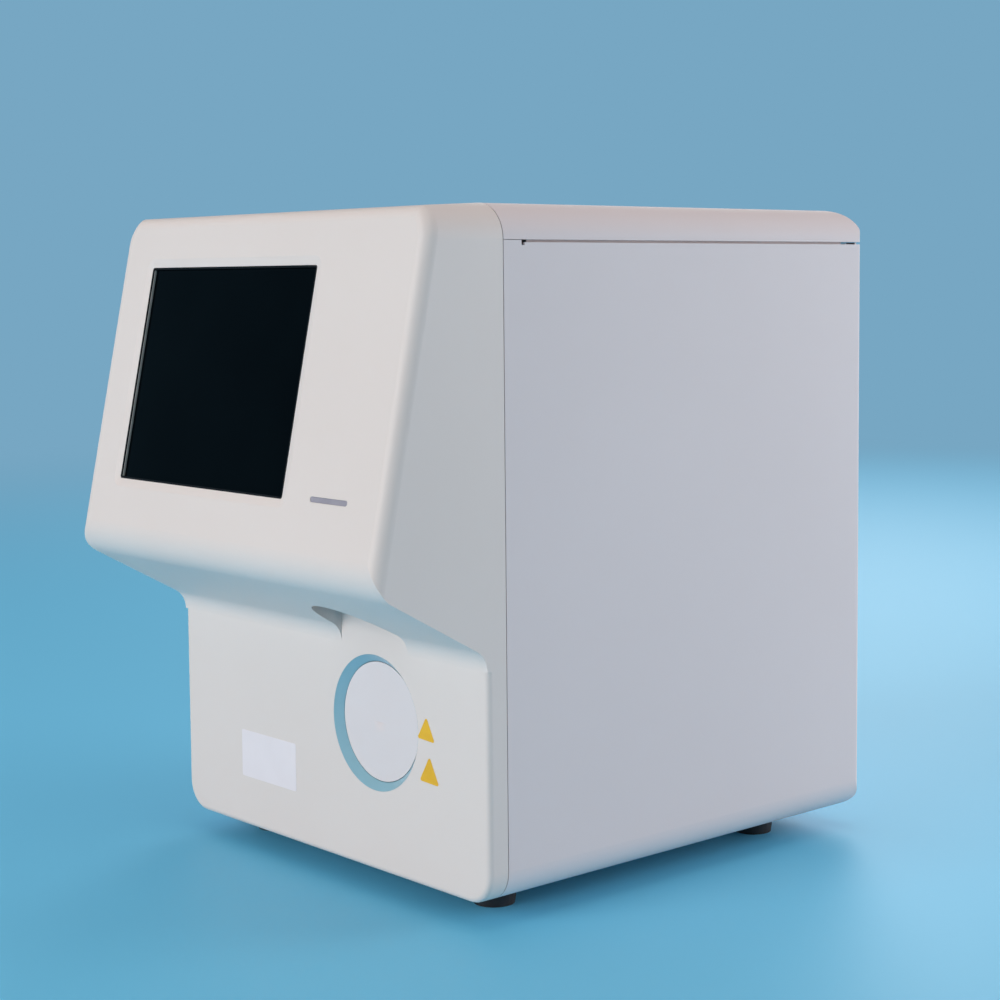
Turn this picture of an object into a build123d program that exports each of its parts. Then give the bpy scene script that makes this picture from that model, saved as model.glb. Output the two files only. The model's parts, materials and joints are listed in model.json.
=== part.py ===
from build123d import *
import math
import os

os.makedirs("parts", exist_ok=True)

# Bench-top blood cell analyzer, in millimetres. X to the viewer's right, Y to the back, Z up.
# The origin is on the table, under the middle of the whole machine.

# Overall form
width = 300.0
foot_height = 13.0
body_height = 383.0
seam_y = -112.0
rear_y = 190.0
top_edge_radius = 20.0
bottom_edge_radius = 18.0
rear_top_radius = 17.0
rear_bottom_radius = 8.0
rear_side_radius = 4.0

# Leaning face, lip, overhang and lower front
brow_depth = 49.0
brow_drop = 2.4
face_drop = 199.2
lip_advance = 41.8
overhang_depth = 77.3
overhang_rise = 42.4
lower_front_depth = 13.5
lip_radius = 20.0
overhang_radius = 14.0
face_edge_radius = 8.0
lower_edge_radius = 3.5
front_wall = 3.5
tongue_length = 6.0
tongue_wall = 2.5

# Covers
top_wall = 2.5
sheet = 1.5
cover_gap = 0.6
panel_gap = 1.5
panel_thin_length = 13.5
notch_width = 2.2
notch_depth = 3.0
rear_wrap = 12.0
bottom_wrap = 26.0
tray_sheet = 2.0
tray_flange = 24.0
fit_gap = 0.3
running_gap = 0.05

# Display window
window_width = 171.0
window_height = 130.4
window_x = -28.5
window_down = 95.7
window_bevel = 5.0
window_corner = 1.6
window_bevel_depth = 1.2
gasket_depth = 1.8
gasket_wall = 1.2
glass_thickness = 1.5
display_thickness = 8.0
display_margin = 4.0

# Lamp bar
lamp_x = 101.0
lamp_down = 158.9
lamp_length = 33.2
lamp_height = 3.1

# Aspirate key and its dished ring
key_x = 49.8
key_z = 100.2
ring_radius = 39.7
ring_depth = 4.5
ring_inner_radius = 35.3
ring_length = 12.0
key_radius = 34.9
key_dome = 1.0
key_skirt = 9.0
key_wall = 2.5
key_travel = 2.5
key_stem_radius = 5.0
key_stem_length = 26.0
key_plate_sheet = 2.0
spring_radius = 8.0
spring_wire = 0.9
spring_turns = 5
switch_size = 12.0
switch_depth = 9.0

# Probe well in the overhang
well_radius = 31.0
well_back = 5.5
well_wall = 2.5
well_clearance = 3.0
well_rise = 20.0

# Sheet partition that carries the works
partition_x = -20.0
partition_sheet = 2.0
partition_top_room = 22.0
partition_flange = 14.0

# Sampling assembly
probe_x = 50.0
probe_y = -146.0
probe_tip_z = 172.0
probe_radius = 0.8
lift_travel = 65.0
travel_range = 150.0
beam_sheet = 6.0
beam_x = 6.0
beam_height = 52.0
beam_base_z = 234.0
beam_rear = 100.0
rail_height = 12.0
rail_width = 8.0
rail_lift = 6.0
belt_width = 6.0
belt_thickness = 1.2
pulley_radius = 6.0
pulley_width = 8.0
pulley_shaft_radius = 2.0
pulley_lift = 38.0
motor_size = 28.0
motor_length = 30.0
slider_length = 40.0
carriage_sheet = 4.0
carriage_arm = 6.0
carriage_low_z = 196.0
arm_reach = 32.0
rod_radius = 3.0
screw_radius = 2.5
column_back = 28.0
rod_offset = 8.0
block_height = 18.0
block_spare = 27.0
block_gap = 2.0
wipe_height = 14.0
wipe_size = 14.0

# Counting baths
bath_radius = 14.0
bath_wall = 2.5
bath_height = 55.0
bath_base_z = 75.0
bath_spacing = 50.0
shield_sheet = 1.5
shield_height = 40.0

# Syringes
syringe_y = 58.0
syringe_screw_step = 15.0
large_syringe_x = 82.0
small_syringe_x = 112.0
syringe_plate_sheet = 4.0
syringe_plate_width = 62.0
syringe_plate_base_z = 50.0
syringe_plate_height = 262.0
clamp_sheet = 5.0
large_barrel_radius = 9.0
small_barrel_radius = 6.0
barrel_wall = 1.6
barrel_spare = 52.0
barrel_base_z = 205.0
large_stroke = 40.0
small_stroke = 30.0
plunger_rod_radius = 2.2
nut_height = 12.0
nut_top_z = 190.0
syringe_motor_size = 28.0
syringe_motor_height = 34.0
syringe_motor_base_z = 62.0

# Valves, pump and vacuum chamber
manifold_side = 38.0
manifold_y = -78.0
manifold_length = 110.0
manifold_width = 22.0
manifold_height = 26.0
valve_count = 5
valve_radius = 9.0
valve_height = 30.0
pump_x = -88.0
pump_y = -62.0
pump_radius = 20.0
pump_length = 62.0
chamber_x = -88.0
chamber_y = 24.0
chamber_radius = 27.0
chamber_height = 96.0

# Electrics
supply_side = 25.0
supply_gap = 13.0
supply_depth = 104.0
supply_height = 42.0
supply_back = 4.0
board_width = 190.0
board_height = 210.0
board_sheet = 1.6
board_standoff = 8.0
board_base_z = 130.0
board_front = -92.0
fan_size = 80.0
fan_depth = 25.0
fan_side = 66.0
fan_drop = 106.0
fan_wall = 2.5
fan_hub_radius = 16.0
fan_blades = 7
blade_gap = 1.5
guard_wire = 1.0
guard_rings = 3

# Rear side sockets
inlet_side = 38.0
inlet_z = 76.0
inlet_width = 48.0
inlet_height = 28.0
inlet_depth = 24.0
socket_depth = 16.0
rocker_step = 52.0
rocker_width = 14.0
rocker_height = 22.0
rocker_swing = 10.0
ground_step = 82.0
ground_radius = 3.0
port_x = 26.0
port_pitch = 24.0
port_z = 120.0
port_radius = 6.0
port_bore = 1.6
port_reach = 10.1
spigot_radius = 3.0
port_count = 4
data_x = 60.0
data_drop = 96.0
socket_margin = 2.4
socket_frame_height = 19.0
socket_lap = 2.0
socket_wall = 0.8

# Fasteners and feet
screw_head_radius = 3.0
screw_head_height = 1.6
screw_shank_radius = 1.5
foot_radius = 14.0
foot_side = 42.0
foot_front = 26.0
foot_back = 56.0

half_width = width / 2
body_bottom = foot_height
body_top = foot_height + body_height
brow_y = seam_y - brow_depth
brow_z = body_top - brow_drop
lip_y = brow_y - lip_advance
lip_z = brow_z - face_drop
lower_y = seam_y - lower_front_depth
overhang_z = lip_z - overhang_rise
top_seam_z = body_top - top_edge_radius
face_length = math.hypot(lip_advance, face_drop)
overhang_slope = overhang_rise / overhang_depth
face_plane = Plane(origin=(0, brow_y, brow_z), x_dir=(1, 0, 0),
                   z_dir=(0, -face_drop / face_length, lip_advance / face_length))
fan_x = fan_side - half_width
fan_z = body_top - fan_drop
data_z = body_top - data_drop
inlet_x = inlet_side - half_width
rocker_x = inlet_x + rocker_step
ground_x = inlet_x + ground_step
manifold_x = half_width - manifold_side
tray_z = body_bottom + sheet
floor_z = tray_z + tray_sheet
rear_inner_y = rear_y - sheet
tray_back_y = rear_y - rear_bottom_radius - 1
carriage_high_z = (carriage_low_z + carriage_arm + block_spare + lift_travel + block_height
                   + block_gap)


def box(x0, x1, y0, y1, z0, z1):
    middle = Pos((x0 + x1) / 2, (y0 + y1) / 2, (z0 + z1) / 2)
    return middle * Box(abs(x1 - x0), abs(y1 - y0), abs(z1 - z0))


def rod(radius, start, end):
    start, end = Vector(*start), Vector(*end)
    axis = end - start
    disc = Plane(origin=start, z_dir=axis) * Circle(radius)
    return extrude(disc, amount=axis.length, dir=axis)


def rounded_outline(corners):
    # corners are (u, v, radius); a radius of 0 leaves the corner sharp
    edges = []
    starts, ends = [], []
    count = len(corners)
    for i, (u, v, radius) in enumerate(corners):
        here = Vector(u, v)
        before = Vector(*corners[i - 1][:2])
        after = Vector(*corners[(i + 1) % count][:2])
        if radius <= 0:
            starts.append(here)
            ends.append(here)
            continue
        back, ahead = (before - here).normalized(), (after - here).normalized()
        half_turn = math.radians(back.get_angle(ahead)) / 2
        reach = radius / math.tan(half_turn)
        middle = (back + ahead).normalized()
        nearest = here + middle * (radius / math.sin(half_turn) - radius)
        starts.append(here + back * reach)
        ends.append(here + ahead * reach)
        edges.append(ThreePointArc(starts[-1], nearest, ends[-1]))
    for i in range(count):
        if (starts[i] - ends[i - 1]).length > 1e-6:
            edges.append(Line(ends[i - 1], starts[i]))
    return make_face(Curve() + edges)


def prism_x(corners, x0, x1):
    return extrude(Plane.YZ.offset(x0) * rounded_outline(corners), amount=x1 - x0, dir=(1, 0, 0))


def prism_y(corners, y0, y1):
    return extrude(Plane.XZ.offset(-y0) * rounded_outline(corners), amount=y1 - y0, dir=(0, 1, 0))


def prism_z(corners, z0, z1):
    return extrude(Plane.XY.offset(z0) * rounded_outline(corners), amount=z1 - z0, dir=(0, 0, 1))


def on_face(x, down, depth):
    # a place on the leaning face: X, distance down the face, depth below its surface
    return face_plane.location * Pos(x, -down, -depth)


def front_view(inset):
    # the rounded front outline that every casing piece shares
    side, low, high = half_width - inset, body_bottom + inset, body_top - inset
    top, bottom = top_edge_radius - inset, bottom_edge_radius - inset
    return [(-side, high, top), (side, high, top), (side, low, bottom), (-side, low, bottom)]


def rear_form(inset):
    back, low, high = rear_y - inset, body_bottom + inset, body_top - inset
    side, front = half_width - inset, seam_y
    upper, lower = rear_top_radius - inset, rear_bottom_radius - inset
    corner = rear_side_radius - inset
    form = prism_y(front_view(inset), front, back)
    form &= prism_x([(front, low, 0), (back, low, lower), (back, high, upper), (front, high, 0)],
                    -side, side)
    form &= prism_z([(-side, front, 0), (side, front, 0), (side, back, corner), (-side, back, corner)],
                    low, high)
    return form


def save(name, shape):
    solids = shape.solids()
    shape = solids[0] if len(solids) == 1 else Compound(children=list(solids))
    shape.label = name
    export_step(shape, f"parts/{name}.step")


# Casing

def front_solid():
    # the overhang meets the lower front in a hollow rounding that ends at this height
    turn = math.atan2(1, overhang_slope)
    hollow_end = overhang_z - overhang_radius / math.tan((math.pi - turn) / 2)
    face_foot_y = brow_y - lip_advance * (brow_z - hollow_end) / face_drop
    head = prism_x([(seam_y, body_top, 0), (brow_y, brow_z, 0), (face_foot_y, hollow_end, 0),
                    (seam_y, hollow_end, 0)], -half_width, half_width)
    head &= prism_y(front_view(0), face_foot_y - 1, seam_y)
    face = head.faces().sort_by(Axis.Y)[0]
    head = fillet(face.edges().sort_by(Axis.Z)[1:], face_edge_radius)
    below = hollow_end - overhang_radius
    ahead = face_foot_y - lip_radius
    out = Vector(0, -face_drop, lip_advance).normalized() * lip_radius
    lip_reach = lip_radius / math.tan(math.radians(lip_corner_angle()) / 2)
    rise = lip_reach / face_length
    start_y, start_z = lip_y + lip_advance * rise, lip_z + face_drop * rise
    outside = prism_x([(start_y + out.Y, start_z + out.Z, 0), (start_y, start_z, 0)]
                      + lip_and_hollow(below, ahead, start_y), -half_width - 1, half_width + 1)
    trunk = prism_y(front_view(0), lower_y, seam_y)
    trunk -= box(-half_width - 1, half_width + 1, lower_y - 1, seam_y + 1, hollow_end, body_top + 1)
    lower_face = trunk.faces().sort_by(Axis.Y)[0]
    trunk = fillet(lower_face.edges().sort_by(Axis.Z)[:-1], lower_edge_radius)
    return (head - outside) + trunk


def lip_corner_angle():
    up = Vector(0, lip_advance, face_drop)
    back = Vector(0, overhang_depth, -overhang_rise)
    return up.get_angle(back)


def lip_and_hollow(below, ahead, start_y):
    return [(lip_y, lip_z, lip_radius), (lower_y, overhang_z, overhang_radius),
            (lower_y, below, 0), (ahead, below, 0), (ahead, lip_z + lip_radius, 0)]


def front_inside():
    wall, back = front_wall, seam_y + front_wall + 1
    outline = rounded_outline([(back, body_top, 0), (seam_y, body_top, 0), (brow_y, brow_z, 0),
                               (lip_y, lip_z, lip_radius), (lower_y, overhang_z, overhang_radius),
                               (lower_y, body_bottom, 0), (back, body_bottom, 0)])
    inner = offset(outline, amount=-wall, kind=Kind.INTERSECTION)
    inside = extrude(Plane.YZ.offset(-half_width + wall) * inner, amount=width - 2 * wall,
                     dir=(1, 0, 0))
    return inside & prism_y(front_view(wall), lip_y, back)


def well_front():
    return lower_y - well_back


def well_prism(radius, back, low, high):
    # a half-round space in front of the lower front, open towards the back
    middle = well_front()
    shape = rod(radius, (probe_x, middle, low), (probe_x, middle, high))
    shape += box(probe_x - radius, probe_x + radius, middle, back, low, high)
    return shape & box(probe_x - radius, probe_x + radius, middle - radius, back, low, high)


def window_outline(grow):
    # the display window's rounded outline, made larger or smaller all round
    return RectangleRounded(window_width + 2 * grow, window_height + 2 * grow, window_corner + grow)


def front_housing():
    housing = front_solid() - front_inside()
    inset = sheet + fit_gap + 1.2
    tongue = prism_y(front_view(inset), seam_y - front_wall, seam_y + tongue_length)
    tongue -= prism_y(front_view(inset + tongue_wall), seam_y - front_wall - 1,
                      seam_y + tongue_length + 1)
    housing += tongue
    collar = well_prism(well_radius + well_wall, lower_y + front_wall, overhang_z,
                        overhang_z + well_rise + overhang_rise / 2)
    collar &= front_inside() + front_solid()
    housing += collar
    housing -= well_prism(well_radius, lower_y, overhang_z - 2 * overhang_radius, lip_z + well_rise)
    housing -= box(probe_x - well_radius, probe_x + well_radius, lower_y - 1, seam_y,
                   probe_tip_z - well_clearance, overhang_z + 2 * overhang_rise)
    housing -= on_face(window_x, window_down, 0) * extrude(window_outline(0), amount=15, both=True)
    bevel = loft([on_face(window_x, window_down, window_bevel_depth) * window_outline(0),
                  on_face(window_x, window_down, 0) * window_outline(window_bevel)])
    housing -= bevel
    housing -= on_face(lamp_x, lamp_down, 0) * extrude(SlotOverall(lamp_length, lamp_height),
                                                       amount=10, both=True)
    housing -= rod(ring_radius + fit_gap / 3, (key_x, lower_y - 1, key_z),
                   (key_x, seam_y, key_z))
    for post in display_posts(front_wall, display_stack()):
        housing += post
    for post in key_posts():
        housing += post
    return housing


def display_stack():
    return window_bevel_depth + gasket_depth + glass_thickness + display_thickness


def display_post_places():
    side = window_width / 2 + display_margin + 8
    up = window_height / 2 - 10
    return [(window_x + sx * side, window_down + sy * up) for sx in (-1, 1) for sy in (-1, 1)]


def display_posts(top, depth):
    return [on_face(x, down, depth) * extrude(Circle(4), amount=depth - top + 0.5)
            for x, down in display_post_places()]


def key_plate_y():
    return lower_y + ring_depth + key_stem_length - 10


def key_post_places():
    reach = ring_radius + 6
    return [(key_x + sx * reach * 0.8, key_z + sz * reach * 0.8) for sx in (-1, 1) for sz in (-1, 1)]


def key_posts():
    return [rod(4, (x, lower_y + 1, z), (x, key_plate_y(), z)) for x, z in key_post_places()]


def casing_shell(wall):
    outer = rear_form(0)
    inner = rear_form(wall)
    inner += box(-half_width + wall, half_width - wall, seam_y - 1, seam_y + 1,
                 body_bottom + bottom_edge_radius, body_top - top_edge_radius)
    return outer - inner


def top_cover():
    cover = casing_shell(top_wall)
    cover &= box(-half_width, half_width, seam_y + cover_gap, rear_y, top_seam_z, body_top)
    inner_side = half_width - top_wall
    step = top_seam_z - 10
    for side in (-1, 1):
        lip = box(side * (inner_side - 1), side * (inner_side - 3), seam_y + 20,
                  rear_y - rear_top_radius, step, top_seam_z + 6)
        cover += lip
        cover += box(side * (inner_side - 3), side * inner_side, seam_y + 20,
                     rear_y - rear_top_radius, top_seam_z, top_seam_z + 6)
    return cover


def side_panel(side):
    panel = casing_shell(sheet)
    panel &= box(side * half_width, side * (half_width - bottom_wrap), seam_y + cover_gap, rear_y,
                 body_bottom, top_seam_z - cover_gap / 2)
    panel -= box(0, side * (half_width - rear_wrap), rear_y - sheet - 2, rear_y + 1,
                 body_bottom + rear_bottom_radius + 2, body_top)
    thin_end = seam_y + panel_thin_length
    panel -= box(side * (half_width - 5), side * (half_width + 1), thin_end, rear_y + 1,
                 top_seam_z - panel_gap, top_seam_z)
    panel -= box(side * (half_width - 5), side * (half_width + 1), thin_end, thin_end + notch_width,
                 top_seam_z - notch_depth, top_seam_z)
    return panel


def rear_panel():
    edge = half_width - rear_wrap - panel_gap / 2
    under_edge = half_width - bottom_wrap - panel_gap / 2
    panel = casing_shell(sheet) & box(-edge, edge, rear_y - rear_wrap - rear_bottom_radius, rear_y,
                                      body_bottom, top_seam_z - cover_gap)
    for side in (-1, 1):
        panel -= box(side * under_edge, side * half_width, seam_y, rear_y + 1, body_bottom - 1,
                     body_bottom + rear_bottom_radius + 2)
    cut0, cut1 = rear_inner_y - 1, rear_y + 1
    panel -= rod(fan_size / 2 - fan_wall, (fan_x, cut0, fan_z), (fan_x, cut1, fan_z))
    panel -= box(inlet_x - inlet_width / 2 + 9.7, inlet_x + inlet_width / 2 - 9.7, cut0, cut1,
                 inlet_z - inlet_height / 2 + 2.2, inlet_z + inlet_height / 2 - 2.2)
    panel -= box(rocker_x - rocker_width / 2 - 2, rocker_x + rocker_width / 2 + 2, cut0, cut1,
                 inlet_z - rocker_height / 2 - 2, inlet_z + rocker_height / 2 + 2)
    panel -= rod(ground_radius + fit_gap / 3, (ground_x, cut0, inlet_z), (ground_x, cut1, inlet_z))
    for x in port_places():
        panel -= rod(port_radius + fit_gap / 3, (x, cut0, port_z), (x, cut1, port_z))
    edges, half_high = socket_edges(), socket_frame_height / 2 + panel_gap / 2
    panel -= box(edges[0] - panel_gap / 2, edges[-1] + panel_gap / 2, cut0, cut1,
                 data_z - half_high, data_z + half_high)
    for row in range(8):
        z = data_z - 60 - 10 * row
        panel -= prism_y([(20, z + 1.5, 1.4), (110, z + 1.5, 1.4), (110, z - 1.5, 1.4),
                          (20, z - 1.5, 1.4)], cut0, cut1)
    for x, z in rear_screw_places():
        panel -= rod(screw_shank_radius + 0.1, (x, cut0, z), (x, cut1, z))
    return panel


def rear_screw_places():
    edge = half_width - rear_wrap - 7
    low, high = body_bottom + rear_bottom_radius + 10, body_top - rear_top_radius - 8
    middle = (low + high) / 2
    return [(side * edge, z) for side in (-1, 1) for z in (low, middle, high)] + [(0, high)]


def cover_screws():
    screws = []
    for x, z in rear_screw_places():
        shank = rod(screw_shank_radius, (x, rear_inner_y - 5, z), (x, rear_y, z))
        head = rod(screw_head_radius, (x, rear_y, z), (x, rear_y + screw_head_height, z))
        slot = box(x - 2, x + 2, rear_y + 0.8, rear_y + 2, z - 0.35, z + 0.35)
        slot += box(x - 0.35, x + 0.35, rear_y + 0.8, rear_y + 2, z - 2, z + 2)
        screws.append(shank + head - slot)
    return Compound(children=screws)


def base_tray():
    side, front, back = half_width - sheet - 2.5, seam_y + tongue_length + 1, tray_back_y
    flat = side - bottom_edge_radius + 2
    tray = box(-flat, flat, front, back, tray_z, floor_z)
    tray += box(-flat, flat, back - tray_sheet, back, tray_z, tray_z + tray_flange + 6)
    for hand in (-1, 1):
        tray += box(hand * flat, hand * (flat - tray_sheet), front, back, tray_z,
                    tray_z + tray_flange)
    for x, y in foot_places():
        tray -= rod(screw_shank_radius + 0.2, (x, y, tray_z - 1), (x, y, floor_z + 1))
    return tray


def foot_places():
    side = half_width - foot_side
    return [(sx * side, y) for sx in (-1, 1) for y in (seam_y + foot_front, rear_y - foot_back)]


def feet():
    pads = []
    for x, y in foot_places():
        pad = Pos(x, y, tray_z / 2) * Cone(foot_radius - 2, foot_radius, tray_z)
        pads.append(pad - rod(5, (x, y, -1), (x, y, 4)))
    return Compound(children=pads)


def mid_frame():
    x0, x1 = partition_x - partition_sheet / 2, partition_x + partition_sheet / 2
    front, back = seam_y + tongue_length + 3, tray_back_y - tray_sheet - fit_gap
    top = body_top - partition_top_room
    plate = box(x0, x1, front, back, floor_z, top)
    plate += box(x0, x1 + partition_flange, front, back, floor_z, floor_z + partition_sheet)
    plate += box(x0, x1 + partition_flange, front, back, top - partition_sheet, top)
    window = box(x0 - 1, x1 + 1, front + 40, back - 60, 0, 0 + 30)
    plate -= Pos(0, 0, floor_z + 14) * window
    for y in (front + 30, back - 90):
        plate -= rod(9, (x0 - 1, y, top - 24), (x1 + 1, y, top - 24))
    return plate


# Display, lamp and key

def window_gasket():
    ring = window_outline(-0.1) - window_outline(-gasket_wall)
    return on_face(window_x, window_down, window_bevel_depth + gasket_depth) * extrude(
        ring, amount=gasket_depth)


def touch_glass():
    depth = window_bevel_depth + gasket_depth + glass_thickness
    return on_face(window_x, window_down, depth) * extrude(window_outline(-fit_gap),
                                                           amount=glass_thickness)


def display_module():
    depth = window_bevel_depth + gasket_depth + glass_thickness + display_thickness / 2
    module = Box(window_width + 2 * display_margin, window_height + 2 * display_margin,
                 display_thickness)
    module += Pos(20, 0, -display_thickness / 2 - 1) * Box(window_width - 81, window_height - 70, 2)
    return on_face(window_x, window_down, depth) * module


def display_bracket():
    depth = display_stack() + 0.75
    tall = window_height - 6
    plate = Box(window_width + 2 * display_margin + 26, tall, sheet)
    plate -= Box(window_width - 40, tall - 34, sheet + 1)
    for x, down in display_post_places():
        plate -= Pos(x - window_x, window_down - down, 0) * Cylinder(1.6, sheet + 1)
    return on_face(window_x, window_down, depth) * plate


def lamp_lens():
    lens = extrude(SlotOverall(lamp_length - 0.2, lamp_height - 0.2), amount=front_wall - 0.2)
    back = extrude(SlotOverall(lamp_length + 4, lamp_height + 4), amount=1.5)
    return on_face(lamp_x, lamp_down, front_wall) * lens + on_face(lamp_x, lamp_down,
                                                                   front_wall + 1.5) * back


def lamp_board():
    board = Box(lamp_length + 8, lamp_height + 10, board_sheet)
    for i in range(4):
        board += Pos(-12 + 8 * i, 0, board_sheet / 2 + 0.6) * Box(3, 2.4, 1.2)
    return on_face(lamp_x, lamp_down, front_wall + 2.7 + board_sheet / 2) * board


def key_ring():
    dish = lower_y + ring_depth
    back = lower_y + ring_length
    profile = Polyline((ring_radius, lower_y), (ring_inner_radius, dish), (ring_inner_radius, back),
                       (ring_radius, back), close=True)
    face = Plane.XY * make_face(profile)
    ring = revolve(face, axis=Axis.Y, revolution_arc=360)
    return Pos(key_x, 0, key_z) * ring


def aspirate_key():
    face_y = lower_y + ring_depth
    sphere = (key_radius ** 2 + key_dome ** 2) / (2 * key_dome)
    profile = make_face(Curve() + [
        ThreePointArc((0, face_y - key_dome),
                      (key_radius / 2, face_y - key_dome + sphere
                       - math.sqrt(sphere ** 2 - key_radius ** 2 / 4)),
                      (key_radius, face_y)),
        Line((key_radius, face_y), (key_radius, face_y + key_skirt)),
        Line((key_radius, face_y + key_skirt), (key_radius - key_wall, face_y + key_skirt)),
        Line((key_radius - key_wall, face_y + key_skirt), (key_radius - key_wall, face_y + key_wall)),
        Line((key_radius - key_wall, face_y + key_wall), (key_stem_radius, face_y + key_wall)),
        Line((key_stem_radius, face_y + key_wall), (key_stem_radius, face_y + key_stem_length)),
        Line((key_stem_radius, face_y + key_stem_length), (0, face_y + key_stem_length)),
        Line((0, face_y + key_stem_length), (0, face_y - key_dome)),
    ])
    return Pos(key_x, 0, key_z) * revolve(profile, axis=Axis.Y, revolution_arc=360)


def key_bracket():
    y0 = key_plate_y()
    y1 = y0 + key_plate_sheet
    reach = (ring_radius + 6) * 0.8 + 6
    plate = box(key_x - reach, key_x + reach, y0, y1, key_z - reach, key_z + reach)
    plate -= rod(key_stem_radius + running_gap, (key_x, y0 - 1, key_z), (key_x, y1 + 1, key_z))
    switch_y = lower_y + ring_depth + key_stem_length + key_travel + fit_gap
    arm = switch_size / 2 + 2
    for side in (-1, 1):
        plate += box(key_x + side * arm, key_x + side * (arm + 2), y1, switch_y + switch_depth + 2,
                     key_z - 8, key_z + 8)
    plate += box(key_x - arm, key_x + arm, switch_y + switch_depth, switch_y + switch_depth + 2,
                 key_z - 8, key_z + 8)
    return plate


def key_spring():
    y0 = lower_y + ring_depth + key_wall + spring_wire / 2
    y1 = key_plate_y() - spring_wire / 2
    length = y1 - y0 - 2 * spring_wire
    coil = Helix(pitch=length / spring_turns, height=length, radius=spring_radius)
    wire = Plane(origin=coil @ 0, z_dir=coil % 0) * Circle(spring_wire / 2)
    spring = sweep(wire, path=coil, is_frenet=True)
    return Pos(key_x, y0 + spring_wire, key_z) * Rot(-90, 0, 0) * spring


def key_switch():
    y0 = lower_y + ring_depth + key_stem_length + key_travel + fit_gap
    half = switch_size / 2
    return box(key_x - half, key_x + half, y0, y0 + switch_depth, key_z - half, key_z + half)


# Sampling assembly

def beam_face():
    return beam_x + beam_sheet


def belt_axis_z():
    return beam_base_z + pulley_lift


def pulley_x():
    return beam_face() + 1.5


def front_pulley_y():
    return probe_y + 12


def rear_pulley_y():
    return beam_rear - motor_size / 2 - 2


def rail_beam():
    front = probe_y + 2
    beam = box(beam_x, beam_face(), front, beam_rear, beam_base_z, beam_base_z + beam_height)
    for y in (front + 60, beam_rear - 50):
        beam += box(partition_x + partition_sheet / 2, beam_x, y, y + 20, beam_base_z + 6,
                    beam_base_z + beam_height - 6)
    z = belt_axis_z()
    beam -= rod(pulley_shaft_radius + 1, (beam_x - 1, rear_pulley_y(), z),
                (beam_face() + 1, rear_pulley_y(), z))
    beam += rod(pulley_shaft_radius, (beam_face(), front_pulley_y(), z),
                (pulley_x() + pulley_width + 1, front_pulley_y(), z))
    for y in (front + 30, front + 104, front + 130):
        beam -= rod(10, (beam_x - 1, y, beam_base_z + beam_height / 2 + 4),
                    (beam_face() + 1, y, beam_base_z + beam_height / 2 + 4))
    return beam


def travel_rail():
    low = beam_base_z + rail_lift
    rail = box(beam_face(), beam_face() + rail_width, probe_y + 2, beam_rear - motor_size - 8, low,
               low + rail_height)
    for z in (low, low + rail_height):
        rail -= Pos(beam_face() + rail_width / 2, (probe_y + beam_rear) / 2, z) * Rot(90, 0, 0) \
            * Cylinder(1.5, 400)
    return rail


def travel_belt():
    z = belt_axis_z()
    front, rear = front_pulley_y(), rear_pulley_y()
    inner = pulley_radius + 0.1
    outer = inner + belt_thickness
    x0 = pulley_x() + 1
    x1 = x0 + belt_width

    def loop(radius, a, b):
        shape = rod(radius, (a, front, z), (b, front, z)) + rod(radius, (a, rear, z), (b, rear, z))
        return shape + box(a, b, front, rear, z - radius, z + radius)
    return loop(outer, x0, x1) - loop(inner, x0 - 1, x1 + 1)


def pulley(y, bore):
    x0, x1 = pulley_x(), pulley_x() + pulley_width
    z = belt_axis_z()
    wheel = rod(pulley_radius, (x0, y, z), (x1, y, z))
    for a in (x0, x1 - 0.8):
        wheel += rod(pulley_radius + 2, (a, y, z), (a + 0.8, y, z))
    return wheel - rod(bore, (x0 - 1, y, z), (x1 + 1, y, z))


def travel_motor():
    x1 = beam_x
    y, z, half = rear_pulley_y(), belt_axis_z(), motor_size / 2
    can = box(x1 - motor_length + 6, x1, y - half, y + half, z - half, z + half)
    shaft = rod(pulley_shaft_radius, (x1, y, z), (pulley_x() + pulley_width, y, z))
    return can + shaft


def carriage_x():
    return beam_face() + rail_width + 10


def column_y():
    return probe_y + column_back


def travel_carriage():
    x0 = carriage_x()
    x1 = x0 + carriage_sheet
    back = column_y() + 12
    front = probe_y + 4
    plate = box(x0, x1, front, back, carriage_low_z, carriage_high_z + carriage_arm)
    for z in (carriage_low_z, carriage_high_z):
        plate += box(x1, x1 + arm_reach, column_y() - 9, column_y() + 12, z, z + carriage_arm)
    plate += box(x1, probe_x + 7, probe_y - 7, column_y() - 9, carriage_low_z,
                 carriage_low_z + carriage_arm)
    low = beam_base_z + rail_lift
    shoe = box(beam_face() + 1, x0, front, front + slider_length, low - 5, low + rail_height + 5)
    shoe -= box(beam_face(), beam_face() + rail_width + fit_gap, front - 1,
                front + slider_length + 1, low - fit_gap, low + rail_height + fit_gap)
    plate += shoe
    plate += box(pulley_x() + 1, x0, front + 18, front + slider_length - 4,
                 low + rail_height + 5, belt_axis_z() - pulley_radius - belt_thickness - 0.4)
    for x, radius in ((rod_x(), rod_radius), (screw_x(), screw_radius)):
        for z in (carriage_low_z, carriage_high_z):
            plate -= rod(radius + running_gap, (x, column_y(), z - 1),
                         (x, column_y(), z + carriage_arm + 1))
    plate -= rod(3.2, (probe_x, probe_y, carriage_low_z - 1),
                 (probe_x, probe_y, carriage_low_z + carriage_arm + 1))
    return plate


def rod_x():
    return probe_x - rod_offset


def screw_x():
    return probe_x + rod_offset


def guide_rod():
    return rod(rod_radius, (rod_x(), column_y(), carriage_low_z),
               (rod_x(), column_y(), carriage_high_z + carriage_arm))


def lift_screw():
    top = carriage_high_z + carriage_arm
    shaft = rod(screw_radius, (screw_x(), column_y(), carriage_low_z), (screw_x(), column_y(), top))
    low, high = carriage_low_z + carriage_arm + 1, carriage_high_z - 1
    for i in range(int((high - low) / 10)):
        shaft += rod(screw_radius + 0.5, (screw_x(), column_y(), low + 10 * i),
                     (screw_x(), column_y(), low + 10 * i + 4))
    return shaft


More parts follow.
